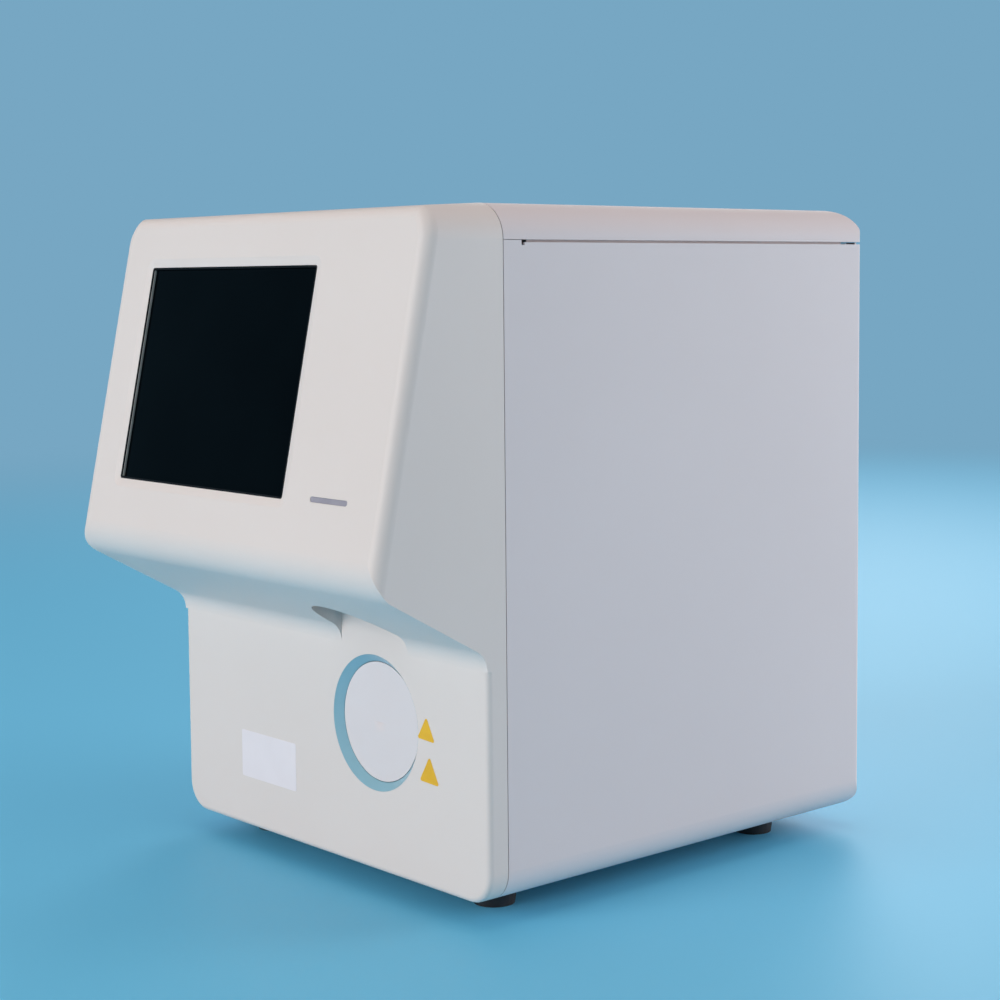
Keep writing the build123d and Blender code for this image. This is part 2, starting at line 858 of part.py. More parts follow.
def lift_motor():
    top = carriage_high_z + carriage_arm
    half = motor_size / 2
    y, x = column_y(), screw_x()
    return box(x - half, x + half, y - half, y + half, top, top + motor_length - 4)


def block_top_z():
    return carriage_high_z - block_gap


def probe_carriage():
    top = block_top_z()
    low = top - block_height
    x0 = carriage_x() + carriage_sheet + fit_gap
    block = box(x0, screw_x() + 7, column_y() - 7, column_y() + 9, low, top)
    block += box(probe_x - 6, probe_x + 6, probe_y - 6, column_y() - 7, low, low + 10)
    block -= rod(rod_radius + running_gap, (rod_x(), column_y(), low - 1),
                 (rod_x(), column_y(), top + 1))
    block -= rod(screw_radius + 0.5 + fit_gap, (screw_x(), column_y(), low - 1),
                 (screw_x(), column_y(), top + 1))
    block -= rod(probe_radius, (probe_x, probe_y, low - 1), (probe_x, probe_y, top + 1))
    return block


def sample_probe():
    hub_z = block_top_z() - block_height + 10
    probe = rod(probe_radius, (probe_x, probe_y, probe_tip_z + 3), (probe_x, probe_y, hub_z + 6))
    tip = Pos(probe_x, probe_y, probe_tip_z + 1.5) * Cone(0.3, probe_radius, 3)
    hub = rod(2.4, (probe_x, probe_y, hub_z), (probe_x, probe_y, hub_z + 6))
    return probe + tip + hub


def probe_wipe():
    half = wipe_size / 2
    top = carriage_low_z
    wipe = box(probe_x - half, probe_x + half, probe_y - half + 1, probe_y + half, top - wipe_height,
               top)
    for side in (-1, 1):
        wipe += rod(1.8, (probe_x + side * half, probe_y, top - 6),
                    (probe_x + side * (half + 5), probe_y, top - 6))
    return wipe - rod(probe_radius + fit_gap, (probe_x, probe_y, top - wipe_height - 1),
                      (probe_x, probe_y, top + 1))


# Fluids

def bath_places():
    rear = probe_y + travel_range
    return [rear - bath_spacing, rear]


def bath(y):
    top = bath_base_z + bath_height
    cup = rod(bath_radius, (probe_x, y, bath_base_z), (probe_x, y, top))
    cup += rod(bath_radius + 2, (probe_x, y, top - 3), (probe_x, y, top))
    cup += rod(4, (probe_x, y, bath_base_z - 8), (probe_x, y, bath_base_z))
    cup -= rod(bath_radius - bath_wall, (probe_x, y, bath_base_z + 6), (probe_x, y, top + 1))
    cup -= rod(1.5, (probe_x, y, bath_base_z - 9), (probe_x, y, bath_base_z + 7))
    return cup


def bath_shield():
    front, rear = bath_places()[0] - 22, bath_places()[1] + 22
    x0, x1 = probe_x - 20, probe_x + 20
    z0 = bath_base_z - shield_sheet
    shield = box(x0, x1, front, rear, z0, z0 + shield_height)
    shield -= box(x0 + shield_sheet, x1 - shield_sheet, front + shield_sheet, rear - shield_sheet,
                  bath_base_z, z0 + shield_height + 1)
    for y in bath_places():
        shield -= rod(4 + fit_gap, (probe_x, y, z0 - 1), (probe_x, y, bath_base_z + 1))
    shield += box(partition_x + partition_sheet / 2, x0, bath_places()[0], bath_places()[1], z0 + 10,
                  z0 + 10 + shield_sheet)
    return shield


def syringe_plate_y():
    return syringe_y + syringe_screw_step + 12


def syringe_frame():
    y0 = syringe_plate_y()
    y1 = y0 + syringe_plate_sheet
    middle = (large_syringe_x + small_syringe_x) / 2
    half = syringe_plate_width / 2
    z0 = floor_z
    z1 = syringe_plate_base_z + syringe_plate_height
    frame = box(middle - half, middle + half, y0, y1, z0, z1)
    frame += box(middle - half, middle + half, y1, y1 + 26, z0, z0 + syringe_plate_sheet)
    screw_y = syringe_y + syringe_screw_step
    motor_top = syringe_motor_base_z + syringe_motor_height
    shelf = box(middle - half, middle + half, screw_y - 15, y0, motor_top, motor_top + 4)
    for x in (large_syringe_x, small_syringe_x):
        shelf -= rod(screw_radius + running_gap, (x, screw_y, motor_top - 1),
                     (x, screw_y, motor_top + 5))
    frame += shelf
    for z in (barrel_base_z, barrel_top(small_stroke) - clamp_sheet):
        clamp = box(middle - half, middle + half, syringe_y - 12, y0, z, z + clamp_sheet)
        for x, radius in ((large_syringe_x, large_barrel_radius),
                          (small_syringe_x, small_barrel_radius)):
            clamp -= rod(radius + 0.1, (x, syringe_y, z - 1), (x, syringe_y, z + clamp_sheet + 1))
            if z == barrel_base_z:
                clamp -= rod(screw_radius + running_gap, (x, screw_y, z - 1),
                             (x, screw_y, z + clamp_sheet - 1))
        frame += clamp
    return frame


def barrel_top(stroke):
    return barrel_base_z + stroke + barrel_spare


def barrel(x, radius, stroke):
    top = barrel_top(stroke)
    body = rod(radius, (x, syringe_y, barrel_base_z), (x, syringe_y, top))
    body += rod(2.5, (x, syringe_y, top), (x, syringe_y, top + 8))
    body -= rod(radius - barrel_wall, (x, syringe_y, barrel_base_z - 1), (x, syringe_y, top - 3))
    return body - rod(1, (x, syringe_y, top - 4), (x, syringe_y, top + 9))


def plunger(x, radius, stroke):
    head_top = barrel_top(stroke) - 5
    bore = radius - barrel_wall - running_gap
    stem = rod(plunger_rod_radius, (x, syringe_y, nut_top_z), (x, syringe_y, head_top))
    head = rod(bore, (x, syringe_y, head_top - 8), (x, syringe_y, head_top))
    screw_y = syringe_y + syringe_screw_step
    nut = box(x - 9, x + 9, syringe_y - 7, screw_y + 8, nut_top_z - nut_height, nut_top_z)
    nut -= rod(screw_radius + 0.5 + fit_gap, (x, screw_y, nut_top_z - nut_height - 1),
               (x, screw_y, nut_top_z + 1))
    return stem + head + nut


def syringe_screw(x):
    low = syringe_motor_base_z + syringe_motor_height
    y = syringe_y + syringe_screw_step
    shaft = rod(screw_radius, (x, y, low), (x, y, barrel_base_z + 4))
    start = low + 6
    for i in range(int((barrel_base_z - 2 - start) / 10)):
        shaft += rod(screw_radius + 0.5, (x, y, start + 10 * i), (x, y, start + 10 * i + 4))
    return shaft


def syringe_motor(x):
    half = syringe_motor_size / 2
    y = syringe_y + syringe_screw_step
    top = syringe_motor_base_z + syringe_motor_height
    return box(x - half, x + half, y - half + 2, syringe_plate_y(), syringe_motor_base_z, top)


def valve_manifold():
    y0, y1 = manifold_y, manifold_y + manifold_length
    half = manifold_width / 2
    block = box(manifold_x - half, manifold_x + half, y0, y1, floor_z, floor_z + manifold_height)
    for y in valve_places():
        block += rod(2.2, (manifold_x - half - 7, y, floor_z + 16), (manifold_x - half, y,
                                                                     floor_z + 16))
    return block


def valve_places():
    pitch = manifold_length / valve_count
    return [manifold_y + pitch * (i + 0.5) for i in range(valve_count)]


def solenoid_valves():
    base = floor_z + manifold_height
    valves = []
    for y in valve_places():
        body = rod(valve_radius, (manifold_x, y, base), (manifold_x, y, base + valve_height))
        body += rod(4, (manifold_x, y, base + valve_height), (manifold_x, y, base + valve_height + 3))
        body += box(manifold_x - 2, manifold_x + 2, y - 4, y + 4, base + valve_height,
                    base + valve_height + 6)
        valves.append(body)
    return Compound(children=valves)


def diaphragm_pump():
    z = floor_z + pump_radius + 4
    y0, y1 = pump_y - pump_length / 2, pump_y + pump_length / 2
    pump = rod(pump_radius, (pump_x, y0 + 20, z), (pump_x, y1, z))
    pump += box(pump_x - pump_radius, pump_x + pump_radius, y0, y0 + 22, z - pump_radius,
                z + pump_radius)
    pump += box(pump_x - 18, pump_x + 18, y0 + 4, y1 - 4, floor_z, floor_z + 8)
    for side in (-1, 1):
        pump += rod(2.5, (pump_x + side * 8, y0 + 8, z + pump_radius),
                    (pump_x + side * 8, y0 + 8, z + pump_radius + 9))
    return pump


def vacuum_chamber():
    z0, z1 = floor_z, floor_z + chamber_height
    chamber = rod(chamber_radius, (chamber_x, chamber_y, z0 + 5), (chamber_x, chamber_y, z1 - 8))
    chamber += rod(chamber_radius + 4, (chamber_x, chamber_y, z0), (chamber_x, chamber_y, z0 + 5))
    chamber += rod(chamber_radius + 4, (chamber_x, chamber_y, z1 - 8), (chamber_x, chamber_y, z1))
    for side in (-1, 1):
        chamber += rod(2.5, (chamber_x + side * 10, chamber_y, z1),
                       (chamber_x + side * 10, chamber_y, z1 + 9))
    return chamber


# Electrics

def power_supply():
    x0, x1 = supply_side - half_width, partition_x - supply_gap
    y1 = tray_back_y - tray_sheet - supply_back
    return box(x0, x1, y1 - supply_depth, y1, floor_z, floor_z + supply_height)


def main_board():
    x1 = partition_x - partition_sheet / 2 - board_standoff
    x0 = x1 - board_sheet
    y0, z0 = board_front, board_base_z
    board = box(x0, x1, y0, y0 + board_width, z0, z0 + board_height)
    for y, z in ((y0 + 8, z0 + 8), (y0 + board_width - 8, z0 + 8), (y0 + 8, z0 + board_height - 8),
                 (y0 + board_width - 8, z0 + board_height - 8)):
        board += rod(3, (x1, y, z), (x1 + board_standoff, y, z))
    for y, z, wide, high_side, thick in ((40, 60, 30, 30, 4), (90, 120, 24, 24, 3),
                                         (140, 50, 40, 12, 9), (140, 80, 40, 12, 9),
                                         (60, 170, 60, 10, 8), (150, 160, 16, 30, 12)):
        board += box(x0 - thick, x0, y0 + y - wide / 2, y0 + y + wide / 2, z0 + z - high_side / 2,
                     z0 + z + high_side / 2)
    return board


def fan_housing():
    half = fan_size / 2
    y0, y1 = rear_inner_y - fan_depth, rear_inner_y
    corners = [(fan_x - half, fan_z + half, 4), (fan_x + half, fan_z + half, 4),
               (fan_x + half, fan_z - half, 4), (fan_x - half, fan_z - half, 4)]
    housing = prism_y(corners, y0, y1)
    housing -= rod(half - fan_wall, (fan_x, y0 - 1, fan_z), (fan_x, y1 + 1, fan_z))
    hub = rod(fan_hub_radius - 2, (fan_x, y0, fan_z), (fan_x, y0 + 4, fan_z))
    hub += rod(2, (fan_x, y0 + 4, fan_z), (fan_x, y0 + fan_depth - 6, fan_z))
    for i in range(3):
        arm = box(-1.5, 1.5, y0, y0 + 3, fan_hub_radius - 4, half - fan_wall + 1)
        hub += Pos(fan_x, 0, fan_z) * Rot(0, 120 * i + 30, 0) * arm
    return housing + hub


def fan_rotor():
    y0 = rear_inner_y - fan_depth + 5
    y1 = rear_inner_y - 3
    half = fan_size / 2
    hub = rod(fan_hub_radius, (0, y0, 0), (0, y1, 0))
    hub -= rod(2 + running_gap, (0, y0 - 1, 0), (0, y1 - 2, 0))
    reach = half - fan_wall - blade_gap
    middle = (fan_hub_radius + reach) / 2
    rotor = hub
    for i in range(fan_blades):
        blade = Pos(0, (y0 + y1) / 2, middle) * Rot(0, 0, 42) * Box(16, 1.6, reach - fan_hub_radius + 3)
        blade &= rod(reach, (0, y0 + 1, 0), (0, y1 - 1, 0))
        rotor += Rot(0, 360 / fan_blades * i, 0) * blade
    return Pos(fan_x, 0, fan_z) * rotor


def fan_guard():
    half = fan_size / 2
    y = rear_y + guard_wire
    guard = None
    for i in range(guard_rings):
        radius = half - 6 - i * 10
        ring = Pos(fan_x, y, fan_z) * Rot(90, 0, 0) * Torus(radius, guard_wire)
        guard = ring if guard is None else guard + ring
    for i in range(4):
        turn = math.radians(45 + 90 * i)
        far = half * 1.3
        end = (fan_x + far * math.cos(turn), y, fan_z + far * math.sin(turn))
        guard += rod(guard_wire, (fan_x, y, fan_z), end)
        guard += rod(3, (end[0], rear_y, end[2]), (end[0], rear_y + 2 * guard_wire, end[2]))
    return guard


# Rear side

def power_inlet():
    x0, x1 = inlet_x - 14, inlet_x + 14
    z0, z1 = inlet_z - inlet_height / 2 + 2.5, inlet_z + inlet_height / 2 - 2.5
    inlet = box(x0, x1, rear_y - inlet_depth, rear_y, z0, z1)
    inlet += box(inlet_x - inlet_width / 2, inlet_x + inlet_width / 2, rear_y, rear_y + 2,
                 inlet_z - inlet_height / 2, inlet_z + inlet_height / 2)
    cavity = prism_y([(inlet_x - 12, inlet_z + 8.2, 5), (inlet_x + 12, inlet_z + 8.2, 5),
                      (inlet_x + 12, inlet_z - 8.2, 1), (inlet_x - 12, inlet_z - 8.2, 1)],
                     rear_y + 2 - socket_depth, rear_y + 3)
    inlet -= cavity
    for dx, dz in ((-7, -2), (7, -2), (0, 3)):
        inlet += box(inlet_x + dx - 1, inlet_x + dx + 1, rear_y - socket_depth, rear_y - 3,
                     inlet_z + dz - 2, inlet_z + dz + 2)
    return inlet


def switch_housing():
    half_w, half_h = rocker_width / 2 + 1.7, rocker_height / 2 + 1.7
    shell = box(rocker_x - half_w, rocker_x + half_w, rear_y - 16, rear_y, inlet_z - half_h,
                inlet_z + half_h)
    shell += box(rocker_x - half_w - 2, rocker_x + half_w + 2, rear_y, rear_y + 1.6,
                 inlet_z - half_h - 2, inlet_z + half_h + 2)
    shell -= box(rocker_x - rocker_width / 2 - fit_gap, rocker_x + rocker_width / 2 + fit_gap,
                 rear_y - 12, rear_y + 3, inlet_z - rocker_height / 2 - fit_gap,
                 inlet_z + rocker_height / 2 + fit_gap)
    shell += rod(1.5, (rocker_x - rocker_width / 2 - 1, rear_y - 2, inlet_z),
                 (rocker_x + rocker_width / 2 + 1, rear_y - 2, inlet_z))
    return shell


def power_rocker():
    axis_y = rear_y - 2
    half = rocker_height / 2 - 1.2
    tilt = math.radians(rocker_swing / 2)
    rise = half * math.sin(tilt)
    crown = 3.4
    cap = prism_x([(axis_y - 4, inlet_z - half, 0), (axis_y + crown + rise, inlet_z - half, 0),
                   (axis_y + crown, inlet_z, 0), (axis_y + crown - rise, inlet_z + half, 0),
                   (axis_y - 4, inlet_z + half, 0)],
                  rocker_x - rocker_width / 2, rocker_x + rocker_width / 2)
    return cap - rod(1.5 + running_gap, (rocker_x - rocker_width, axis_y, inlet_z),
                     (rocker_x + rocker_width, axis_y, inlet_z))


def ground_post():
    post = rod(ground_radius, (ground_x, rear_inner_y - 6, inlet_z), (ground_x, rear_y + 9, inlet_z))
    nut = prism_y([(ground_x + 5.5 * math.cos(math.radians(60 * i)),
                    inlet_z + 5.5 * math.sin(math.radians(60 * i)), 0) for i in range(6)],
                  rear_y, rear_y + 3)
    return post + nut


def port_places():
    return [port_x + port_pitch * i for i in range(port_count)]


def fluid_ports():
    ports = []
    tip = 0.5
    for x in port_places():
        port = rod(port_radius, (x, rear_inner_y - 8, port_z), (x, rear_y, port_z))
        port += rod(port_radius + 2.5, (x, rear_y, port_z), (x, rear_y + 3, port_z))
        port += rod(spigot_radius, (x, rear_y + 3, port_z), (x, rear_y + port_reach - tip, port_z))
        port += Pos(x, rear_y + port_reach - tip / 2, port_z) * Rot(-90, 0, 0) \
            * Cone(spigot_radius, spigot_radius - tip, tip)
        port -= rod(port_bore, (x, rear_inner_y - 9, port_z), (x, rear_y + port_reach + 1, port_z))
        ports.append(port)
    return Compound(children=ports)


def data_cuts():
    # middle, width and height of each socket
    return [(data_x - 34, 13.4, 6), (data_x - 14, 13.4, 6), (data_x + 10, 16.6, 14.4),
            (data_x + 40, 32, 12.6)]


def socket_edges():
    # where one socket's frame ends and the next one's starts
    cuts = data_cuts()
    first = cuts[0][0] - cuts[0][1] / 2 - socket_margin
    last = cuts[-1][0] + cuts[-1][1] / 2 + socket_margin
    inner = [(a[0] + a[1] / 2 + b[0] - b[1] / 2) / 2 for a, b in zip(cuts, cuts[1:])]
    return [first] + inner + [last]


def data_sockets():
    sockets = []
    edges, half_high = socket_edges(), socket_frame_height / 2
    for i, (x, wide, tall) in enumerate(data_cuts()):
        left, right = edges[i] + 0.1, edges[i + 1] - 0.1
        lap_left = left - (socket_lap if i == 0 else 0)
        lap_right = right + (socket_lap if i == len(edges) - 2 else 0)
        socket = box(left, right, rear_inner_y, rear_y, data_z - half_high, data_z + half_high)
        socket += box(lap_left, lap_right, rear_inner_y - 1, rear_inner_y,
                      data_z - half_high - socket_lap, data_z + half_high + socket_lap)
        socket += box(x - wide / 2, x + wide / 2, rear_y - socket_depth, rear_y + 0.4,
                      data_z - tall / 2, data_z + tall / 2)
        socket -= box(x - wide / 2 + socket_wall, x + wide / 2 - socket_wall, rear_y - 10,
                      rear_y + 1, data_z - tall / 2 + socket_wall, data_z + tall / 2 - socket_wall)
        sockets.append(socket)
    return Compound(children=sockets)


pieces = {
    "front_housing": front_housing,
    "top_cover": top_cover,
    "side_panel_right": lambda: side_panel(1),
    "side_panel_left": lambda: side_panel(-1),
    "rear_panel": rear_panel,
    "base_tray": base_tray,
    "feet": feet,
    "mid_frame": mid_frame,
    "cover_screws": cover_screws,
    "window_gasket": window_gasket,
    "touch_glass": touch_glass,
    "display_module": display_module,
    "display_bracket": display_bracket,
    "lamp_lens": lamp_lens,
    "lamp_board": lamp_board,
    "key_ring": key_ring,
    "aspirate_key": aspirate_key,
    "key_spring": key_spring,
    "key_bracket": key_bracket,
    "key_switch": key_switch,
    "rail_beam": rail_beam,
    "travel_rail": travel_rail,
    "travel_belt": travel_belt,
    "drive_pulley": lambda: pulley(rear_pulley_y(), pulley_shaft_radius + running_gap),
    "idler_pulley": lambda: pulley(front_pulley_y(), pulley_shaft_radius + running_gap),
    "travel_motor": travel_motor,
    "travel_carriage": travel_carriage,
    "guide_rod": guide_rod,
    "lift_screw": lift_screw,
    "lift_motor": lift_motor,
    "probe_carriage": probe_carriage,
    "sample_probe": sample_probe,
    "probe_wipe": probe_wipe,
    "bath_front": lambda: bath(bath_places()[0]),
    "bath_rear": lambda: bath(bath_places()[1]),
    "bath_shield": bath_shield,
    "syringe_frame": syringe_frame,
    "large_barrel": lambda: barrel(large_syringe_x, large_barrel_radius, large_stroke),
    "small_barrel": lambda: barrel(small_syringe_x, small_barrel_radius, small_stroke),
    "large_plunger": lambda: plunger(large_syringe_x, large_barrel_radius, large_stroke),
    "small_plunger": lambda: plunger(small_syringe_x, small_barrel_radius, small_stroke),
    "large_screw": lambda: syringe_screw(large_syringe_x),
    "small_screw": lambda: syringe_screw(small_syringe_x),
    "large_motor": lambda: syringe_motor(large_syringe_x),
    "small_motor": lambda: syringe_motor(small_syringe_x),
    "valve_manifold": valve_manifold,
    "solenoid_valves": solenoid_valves,
    "vacuum_chamber": vacuum_chamber,
    "diaphragm_pump": diaphragm_pump,
    "power_supply": power_supply,
    "main_board": main_board,
    "fan_housing": fan_housing,
    "fan_rotor": fan_rotor,
    "fan_guard": fan_guard,
    "power_inlet": power_inlet,
    "switch_housing": switch_housing,
    "power_rocker": power_rocker,
    "ground_post": ground_post,
    "fluid_ports": fluid_ports,
    "data_sockets": data_sockets,
}

for name, make in pieces.items():
    save(name, make())
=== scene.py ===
import json
import math

import bmesh
import bpy
from mathutils import Matrix, Vector


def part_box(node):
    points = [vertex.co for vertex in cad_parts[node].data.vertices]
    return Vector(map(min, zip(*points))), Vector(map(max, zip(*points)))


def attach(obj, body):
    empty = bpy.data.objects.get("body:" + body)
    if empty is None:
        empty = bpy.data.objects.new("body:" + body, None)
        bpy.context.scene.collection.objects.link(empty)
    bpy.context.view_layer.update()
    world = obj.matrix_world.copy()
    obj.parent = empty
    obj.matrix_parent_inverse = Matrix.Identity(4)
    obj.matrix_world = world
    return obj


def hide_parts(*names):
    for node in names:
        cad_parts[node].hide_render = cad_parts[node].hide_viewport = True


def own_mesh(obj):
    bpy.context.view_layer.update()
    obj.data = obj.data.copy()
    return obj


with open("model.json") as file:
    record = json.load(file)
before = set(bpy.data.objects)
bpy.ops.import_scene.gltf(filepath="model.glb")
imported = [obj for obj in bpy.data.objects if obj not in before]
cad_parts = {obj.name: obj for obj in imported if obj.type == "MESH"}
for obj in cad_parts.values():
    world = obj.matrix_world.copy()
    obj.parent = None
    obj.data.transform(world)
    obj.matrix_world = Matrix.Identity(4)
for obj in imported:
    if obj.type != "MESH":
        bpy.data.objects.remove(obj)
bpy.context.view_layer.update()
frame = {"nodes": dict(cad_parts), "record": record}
print("frame loaded:", len(frame["nodes"]), "nodes")


# camera, at the photograph's viewing angle
cameraView = {
    "place": (0.9601, -0.8224, 0.35516),
    "yaw": 48.88,
    "pitch": -4.66,
    "roll": -0.51,
    "lens": 72.42,  # mm
    "sensor": 36,
    "shiftUp": -0.0576,
    "seesTo": 50,
}


def placeCamera(view):
    yaw, pitch, roll = (math.radians(view[k]) for k in ("yaw", "pitch", "roll"))
    ahead = Vector((-math.sin(yaw) * math.cos(pitch), math.cos(yaw) * math.cos(pitch),
                    math.sin(pitch)))
    level = Vector((math.cos(yaw), math.sin(yaw), 0))
    up = level.cross(ahead)
    right = level * math.cos(roll) + up * math.sin(roll)
    top = up * math.cos(roll) - level * math.sin(roll)
    data = bpy.data.cameras.new("photoCamera")
    data.lens = view["lens"]
    data.sensor_width = view["sensor"]
    data.shift_y = view["shiftUp"]
    data.clip_end = view["seesTo"]
    camera = bpy.data.objects.new("photoCamera", data)
    bpy.context.scene.collection.objects.link(camera)
    turn = Matrix((right, top, -ahead)).transposed().to_4x4()
    camera.matrix_world = Matrix.Translation(view["place"]) @ turn
    bpy.context.scene.camera = camera


placeCamera(cameraView)
bpy.context.scene.view_settings.view_transform = "Standard"
print("camera placed")


# studio: pale floor that runs into a plain background, soft lamps
studio = {
    "backdropBlue": (0.185, 0.385, 0.545),
    "floorBlue": (0.160, 0.610, 0.900),
    "skyLight": (1.0, 0.945, 0.94),
    "skyStrength": 0.30,
    "floorRadius": 9.0,
    "floorSides": 96,
    "floorRoughness": 0.55,
    "fadeStart": 0.9,  # metres from the object where the floor starts to run into the background
    "fadeEnd": 3.2,
    "lampsAimAt": (0, 0, 0.2),
    "lamps": [
        # name, place, size, watts, colour
        ("frontWindow", (-0.3, -2.9, 0.85), 1.7, 51, (1.0, 0.925, 0.89)),
        ("sideWindow", (2.8, -0.3, 0.5), 1.5, 5, (1.0, 0.90, 0.87)),
        ("rearSide", (1.3, 1.8, 0.45), 1.6, 31, (1.0, 0.885, 0.865)),
        ("ceilingSoft", (0.1, 0.2, 2.4), 1.6, 7, (1.0, 0.97, 0.96)),
        ("rearSoft", (-1.6, 2.4, 1.2), 1.5, 20, (1.0, 0.98, 0.97)),
    ],
}


def hangLamp(name, place, size, watts, colour):
    data = bpy.data.lights.new(name, "AREA")
    data.shape = "DISK"
    data.size = size
    data.energy = watts
    data.color = colour
    lamp = bpy.data.objects.new(name, data)
    lamp.location = place
    lamp.visible_camera = False
    aim = Vector(studio["lampsAimAt"]) - Vector(place)
    lamp.rotation_euler = aim.to_track_quat("-Z", "Y").to_euler()
    bpy.context.scene.collection.objects.link(lamp)


def seenRay(tree):
    # 1 for what the camera sees, straight, in a gloss or through glass
    ray = tree.nodes.new("ShaderNodeLightPath")
    seen = ray.outputs["Is Camera Ray"]
    for kind in ("Is Glossy Ray", "Is Transmission Ray"):
        either = tree.nodes.new("ShaderNodeMath")
        either.operation = "MAXIMUM"
        tree.links.new(seen, either.inputs[0])
        tree.links.new(ray.outputs[kind], either.inputs[1])
        seen = either.outputs[0]
    return seen


def setStudio(look):
    world = bpy.data.worlds.new("studioWorld")
    world.use_nodes = True
    bpy.context.scene.world = world
    tree = world.node_tree
    tree.nodes.clear()
    out = tree.nodes.new("ShaderNodeOutputWorld")
    light = tree.nodes.new("ShaderNodeBackground")
    shown = tree.nodes.new("ShaderNodeBackground")
    light.inputs["Color"].default_value = (*look["skyLight"], 1)
    light.inputs["Strength"].default_value = look["skyStrength"]
    shown.inputs["Color"].default_value = (*look["backdropBlue"], 1)
    pick = tree.nodes.new("ShaderNodeMixShader")
    tree.links.new(seenRay(tree), pick.inputs["Fac"])
    tree.links.new(light.outputs[0], pick.inputs[1])
    tree.links.new(shown.outputs[0], pick.inputs[2])
    tree.links.new(pick.outputs[0], out.inputs["Surface"])

    mesh = bmesh.new()
    bmesh.ops.create_circle(mesh, cap_ends=True, segments=look["floorSides"],
                             radius=look["floorRadius"])
    floor = newObject("studioFloor", mesh)
    paint = bpy.data.materials.new("floorPaper")
    paint.use_nodes = True
    tree = paint.node_tree
    shader = tree.nodes["Principled BSDF"]
    shader.inputs["Roughness"].default_value = look["floorRoughness"]
    shader.inputs["Base Color"].default_value = (*look["floorBlue"], 1)
    where = tree.nodes.new("ShaderNodeTexCoord")
    far = tree.nodes.new("ShaderNodeVectorMath")
    far.operation = "LENGTH"
    fade = tree.nodes.new("ShaderNodeMapRange")
    fade.interpolation_type = "SMOOTHSTEP"
    fade.inputs["From Min"].default_value = look["fadeStart"]
    fade.inputs["From Max"].default_value = look["fadeEnd"]
    flat = tree.nodes.new("ShaderNodeEmission")
    flat.inputs["Color"].default_value = (*look["backdropBlue"], 1)
    both = tree.nodes.new("ShaderNodeMixShader")
    tree.links.new(where.outputs["Object"], far.inputs[0])
    tree.links.new(far.outputs["Value"], fade.inputs["Value"])
    faded = tree.nodes.new("ShaderNodeMath")
    faded.operation = "MULTIPLY"
    tree.links.new(fade.outputs["Result"], faded.inputs[0])
    tree.links.new(seenRay(tree), faded.inputs[1])
    tree.links.new(faded.outputs[0], both.inputs["Fac"])
    tree.links.new(shader.outputs[0], both.inputs[1])
    tree.links.new(flat.outputs[0], both.inputs[2])
    tree.links.new(both.outputs[0], tree.nodes["Material Output"].inputs["Surface"])
    floor.data.materials.append(paint)
    for lamp in look["lamps"]:
        hangLamp(*lamp)


def newObject(name, mesh, smooth=False):
    data = bpy.data.meshes.new(name)
    bmesh.ops.recalc_face_normals(mesh, faces=mesh.faces)
    mesh.to_mesh(data)
    mesh.free()
    for face in data.polygons:
        face.use_smooth = smooth
    made = bpy.data.objects.new(name, data)
    bpy.context.scene.collection.objects.link(made)
    return made


setStudio(studio)
print("studio set")


# finishes: base colour in two near tones, roughness and a fine surface, by noise in object space
finishNoise = {
    "toneStart": 0.35,  # where in the noise the low tone ends
    "toneEnd": 0.65,
    "toneDetail": 3,
    "roughDetail": 4,
    "grainDetail": 2,
}


def makeFinish(name, look):
    paint = bpy.data.materials.new(name)
    paint.use_nodes = True
    tree = paint.node_tree
    shader = tree.nodes["Principled BSDF"]
    for socket, value in look.get("shader", {}).items():
        shader.inputs[socket].default_value = value
    where = tree.nodes.new("ShaderNodeTexCoord")
    stretch = tree.nodes.new("ShaderNodeMapping")
    stretch.inputs["Scale"].default_value = look.get("stretch", (1, 1, 1))
    tree.links.new(where.outputs["Object"], stretch.inputs["Vector"])

    def noise(scale, detail):
        made = tree.nodes.new("ShaderNodeTexNoise")
        made.inputs["Scale"].default_value = scale
        made.inputs["Detail"].default_value = detail
        tree.links.new(stretch.outputs["Vector"], made.inputs["Vector"])
        return made.outputs["Fac"]

    tone = tree.nodes.new("ShaderNodeValToRGB")
    tone.color_ramp.elements[0].position = finishNoise["toneStart"]
    tone.color_ramp.elements[1].position = finishNoise["toneEnd"]
    tone.color_ramp.elements[0].color = (*look["toneLow"], 1)
    tone.color_ramp.elements[1].color = (*look["toneHigh"], 1)
    tree.links.new(noise(look["toneScale"], finishNoise["toneDetail"]), tone.inputs["Fac"])
    tree.links.new(tone.outputs["Color"], shader.inputs["Base Color"])
    rough = tree.nodes.new("ShaderNodeMapRange")
    rough.inputs["To Min"].default_value = look["roughLow"]
    rough.inputs["To Max"].default_value = look["roughHigh"]
    tree.links.new(noise(look["roughScale"], finishNoise["roughDetail"]), rough.inputs["Value"])
    tree.links.new(rough.outputs["Result"], shader.inputs["Roughness"])
    bump = tree.nodes.new("ShaderNodeBump")
    bump.inputs["Strength"].default_value = look["grain"]
    bump.inputs["Distance"].default_value = look["grainDepth"]
    tree.links.new(noise(look["grainScale"], finishNoise["grainDetail"]), bump.inputs["Height"])
    tree.links.new(bump.outputs["Normal"], shader.inputs["Normal"])
    return paint


